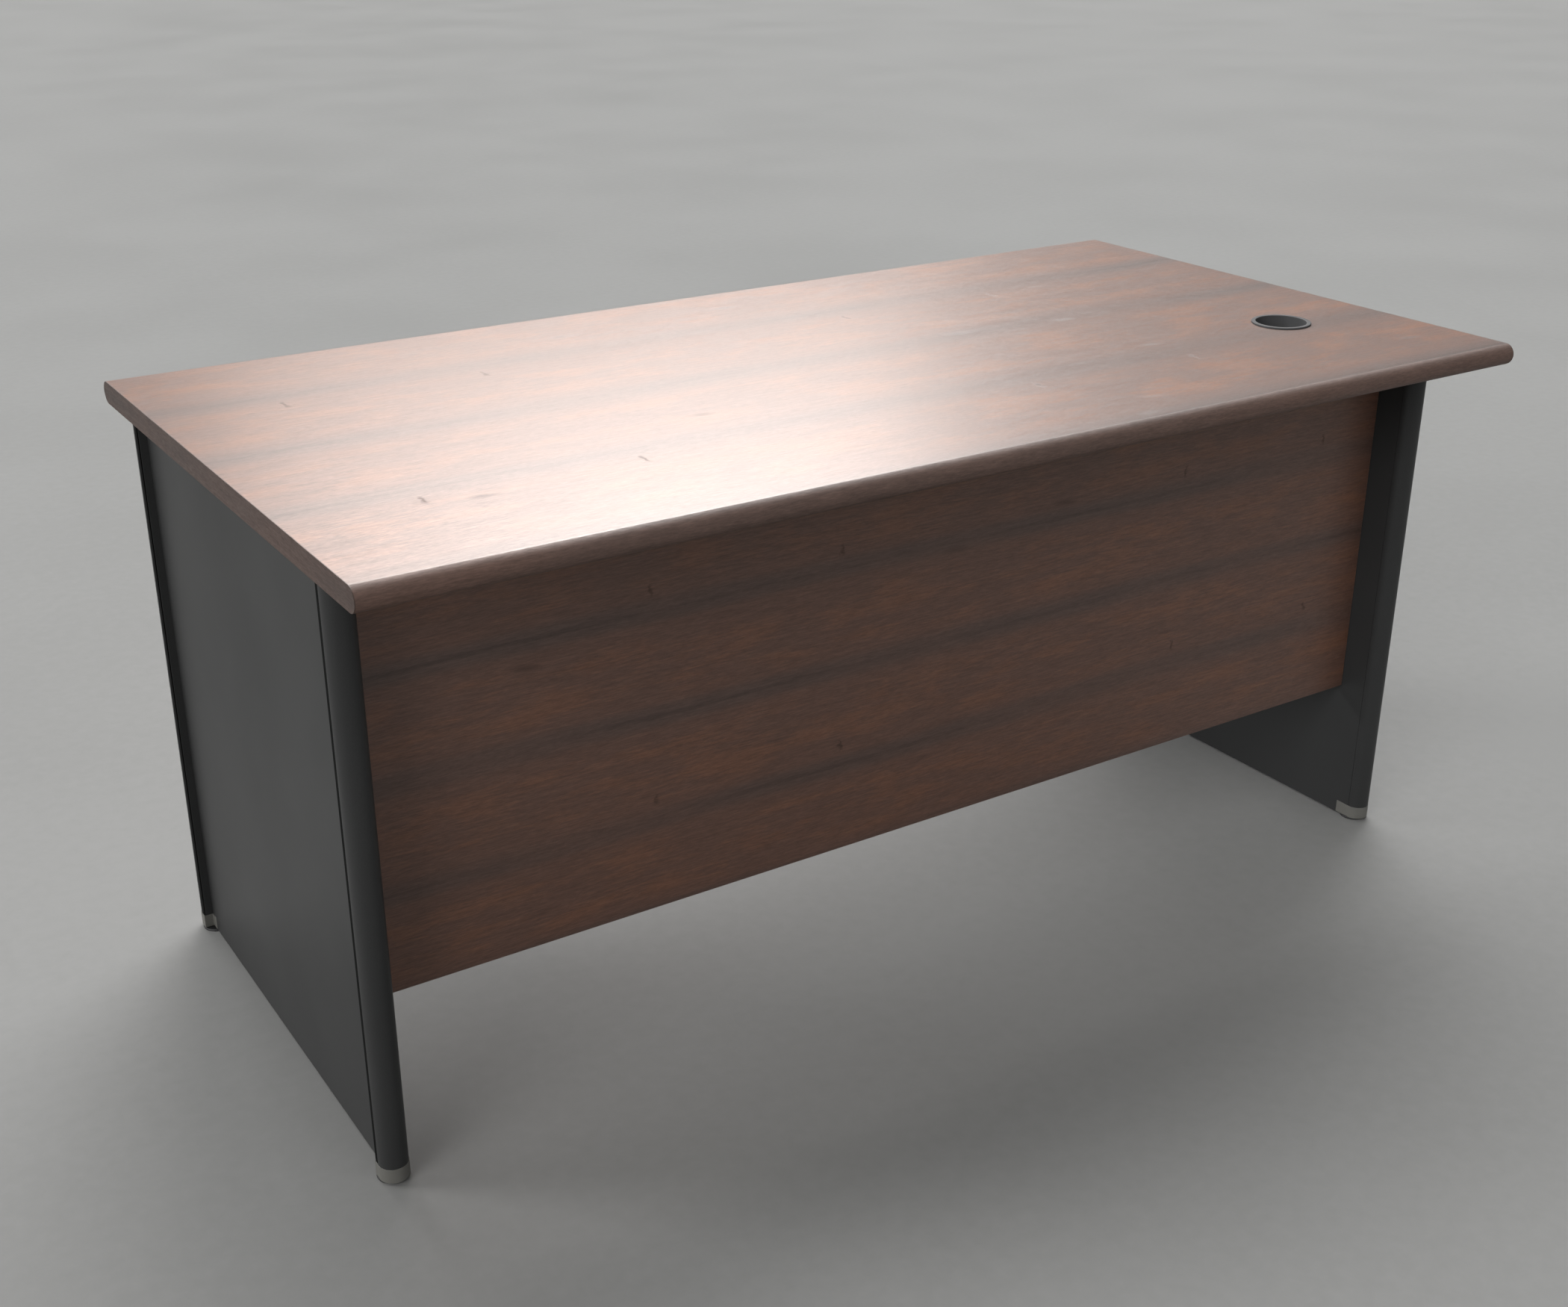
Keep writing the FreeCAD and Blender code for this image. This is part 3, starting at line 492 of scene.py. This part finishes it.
def post_section(thickness, depth):
    """A post's outline: x goes inward from its outer face, and y back from its nose.  Its outer
    face is stepped for the black strip, and its inner one for the lap of the inner panel."""
    nose = thickness / 2
    lap = thickness - LAP
    rear = depth - POST_ROUND
    edge = depth - STRIP_WIDTH - POST_ROUND
    return (shoulder(nose, edge)
            + arc((nose, nose), nose, 270, 90, NOSE_STEPS)[1:]
            + [(lap, nose)]
            + arc((lap - POST_ROUND, rear), POST_ROUND, 0, 90, POST_ROUND_STEPS)
            + arc((STRIP_BED + POST_ROUND, rear), POST_ROUND, 90, 90, POST_ROUND_STEPS)
            + [(STRIP_BED, depth - STRIP_WIDTH)]
            + arc((POST_ROUND, edge), POST_ROUND, 90, 90, POST_ROUND_STEPS))


def strip_outline(depth):
    """The outline of the black strip in a post's outer face, with its free edge rounded."""
    radius = STRIP_THICKNESS / 2
    start = depth - STRIP_WIDTH + STRIP_GAP
    return ([(STRIP_INSET + STRIP_THICKNESS, start), (STRIP_INSET, start)]
            + arc((STRIP_INSET + radius, depth - radius), radius, 180, -180, STRIP_STEPS))


def joined(mesh, below, above):
    """Faces all round between two rings of corners."""
    count = len(below)
    for step in range(count):
        after = (step + 1) % count
        mesh.faces.new([below[step], below[after], above[after], above[step]])


def upright(section, side, end):
    """A mesh that carries a section up one post's height, in that post's corner of the desk."""
    low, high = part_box(f"{side}_{end}_post")
    inward, outer_x = (1, low.x) if side == "left" else (-1, high.x)
    back, nose_y = (1, low.y) if end == "front" else (-1, high.y)
    outline = [(outer_x + inward * x, nose_y + back * y) for x, y in section]
    mesh = bmesh.new()
    bottom, top = [[mesh.verts.new((x, y, z)) for x, y in outline] for z in (low.z, high.z)]
    joined(mesh, bottom, top)
    mesh.faces.new(bottom[::-1])
    mesh.faces.new(top)
    bmesh.ops.recalc_face_normals(mesh, faces=mesh.faces)
    return mesh


def post_pieces(side, end, looks):
    """A post, in the box of the CAD node that it stands for, and the strip along its edge."""
    node = f"{side}_{end}_post"
    low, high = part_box(node)
    depth = high.y - low.y
    finished(upright(post_section(high.x - low.x, depth), side, end), node, looks)
    dark_strip = shown(upright(strip_outline(depth), side, end), f"{node}_seal", looks["near_black_strip"])
    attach(dark_strip, BODIES[node])


# ---------------------------------------------------------------- studio

def floor():
    """A plain pale floor, large enough to run past the camera's view on every side."""
    s = Shader("studio_floor", Specular_IOR_Level=0.1)
    place = s.place()
    cloud = s.noise(place, 1.1, 5.0, 0.55)
    speck = s.noise(place, 45.0, 4.0, 0.6)
    tone = s.math("MULTIPLY_ADD", s.swing(speck), 0.5, cloud)
    s.set(Base_Color=s.mix(s.ramp(tone, 0.25, 0.75), rgb(*FLOOR_DARK), rgb(*FLOOR_PALE)),
          Roughness=s.ramp(cloud, 0.3, 0.7, 0.52, 0.64, "LINEAR"))
    bpy.ops.mesh.primitive_plane_add(size=FLOOR_SIZE, location=(0, 0, 0))
    plane = bpy.context.object
    plane.name = "studio_floor"
    plane.data.materials.append(s.material)


def wall_mesh():
    """A round wall on a cove, open at the top."""
    profile = arc((WALL_REACH - WALL_COVE, WALL_COVE), WALL_COVE, -90, 90, WALL_COVE_STEPS)
    turns = [2 * math.pi * step / WALL_SIDES for step in range(WALL_SIDES)]
    mesh = bmesh.new()
    rings = [[mesh.verts.new((radius * math.cos(turn), radius * math.sin(turn), level))
              for turn in turns]
             for radius, level in profile + [(WALL_REACH, WALL_HEIGHT)]]
    for below, above in zip(rings, rings[1:]):
        joined(mesh, above, below)
    return mesh


def glowing(name, colour, strength):
    """A surface with an even tone of its own, which isn't sampled as a light."""
    material = bpy.data.materials.new(name)
    material.use_nodes = True
    nodes = material.node_tree.nodes
    nodes.remove(nodes["Principled BSDF"])
    glow = nodes.new("ShaderNodeEmission")
    glow.inputs["Color"].default_value = rgb(*colour)
    glow.inputs["Strength"].default_value = strength
    material.node_tree.links.new(glow.outputs[0], nodes["Material Output"].inputs["Surface"])
    material.cycles.emission_sampling = "NONE"
    return material


def backdrop():
    """A pale wall all round, where the floor ends.  It shows, but lights and shades nothing."""
    wall = shown(wall_mesh(), "studio_backdrop", glowing("studio_backdrop", (0.99, 1.0, 0.97), 0.42))
    for rays in ("diffuse", "glossy", "transmission", "volume_scatter", "shadow"):
        setattr(wall, f"visible_{rays}", False)


def toward(azimuth, elevation):
    """A direction from the desk.  Azimuth 0 is behind the desk, and 90 is to its right."""
    a, e = math.radians(azimuth), math.radians(elevation)
    return Vector((math.sin(a) * math.cos(e), math.cos(a) * math.cos(e), math.sin(e)))


def shining(data, away):
    """A light in the scene that shines on the desk from the direction away."""
    light = bpy.data.objects.new(data.name, data)
    light.rotation_mode = "QUATERNION"
    light.rotation_quaternion = away.to_track_quat("Z", "Y")
    bpy.context.scene.collection.objects.link(light)
    return light


def sheen_light(name, azimuth, elevation, size, power, colour):
    """An area light seen only as gloss, so it doesn't light the near floor more than the far."""
    data = bpy.data.lights.new(name, "AREA")
    data.shape = "RECTANGLE"
    data.size, data.size_y = size
    data.energy = power
    data.color = colour
    away = toward(azimuth, elevation)
    light = shining(data, away)
    light.location = DESK_CENTRE + away * SHEEN_DISTANCE
    light.visible_diffuse = False


def sky_light(name, azimuth, elevation, spread, strength):
    """A broad far light, such as a lit wall or ceiling: every part of the floor gets the same."""
    data = bpy.data.lights.new(name, "SUN")
    data.angle = math.radians(spread)
    data.energy = strength
    shining(data, toward(azimuth, elevation))


def studio():
    """Soft light: two panels give the sheen on the top, and broad far lights the shade."""
    world = bpy.data.worlds.new("studio_world")
    world.use_nodes = True
    background = world.node_tree.nodes["Background"]
    background.inputs["Color"].default_value = rgb(0.99, 1.0, 0.99)
    background.inputs["Strength"].default_value = 0.10
    bpy.context.scene.world = world
    sheen_light("sheen_panel", azimuth=29, elevation=48, size=(1.6, 1.3), power=124,
                colour=(1.0, 0.98, 0.97))
    sheen_light("low_sheen_panel", azimuth=22, elevation=34, size=(2.2, 1.1), power=79,
                colour=(1.0, 0.86, 0.80))
    sky_light("roof", azimuth=28, elevation=75, spread=50, strength=0.88)
    sky_light("right_window", azimuth=43, elevation=50, spread=38, strength=2.30)
    sky_light("back_wall", azimuth=0, elevation=35, spread=18, strength=0.69)
    sky_light("left_window", azimuth=-52, elevation=30, spread=22, strength=1.39)
    sky_light("left_wall", azimuth=-113, elevation=28, spread=38, strength=1.57)
    sky_light("front_wall", azimuth=162, elevation=25, spread=60, strength=0.50)
    bpy.context.scene.view_settings.view_transform = "Standard"


def camera():
    """The photograph's view: from the visitor's side, to the left and above."""
    data = bpy.data.cameras.new("camera")
    data.sensor_width = CAMERA_SENSOR
    data.lens = CAMERA_LENS
    data.clip_end = 200.0
    view = bpy.data.objects.new("camera", data)
    view.location = CAMERA_PLACE
    view.rotation_euler = (math.radians(90 - CAMERA_DIP), 0, math.radians(-CAMERA_TURN))
    bpy.context.scene.collection.objects.link(view)
    bpy.context.scene.camera = view


looks = finishes()
dress(looks)
eased_pieces(looks)
for side in SIDES:
    for end in ENDS:
        post_pieces(side, end, looks)
floor()
backdrop()
studio()
camera()
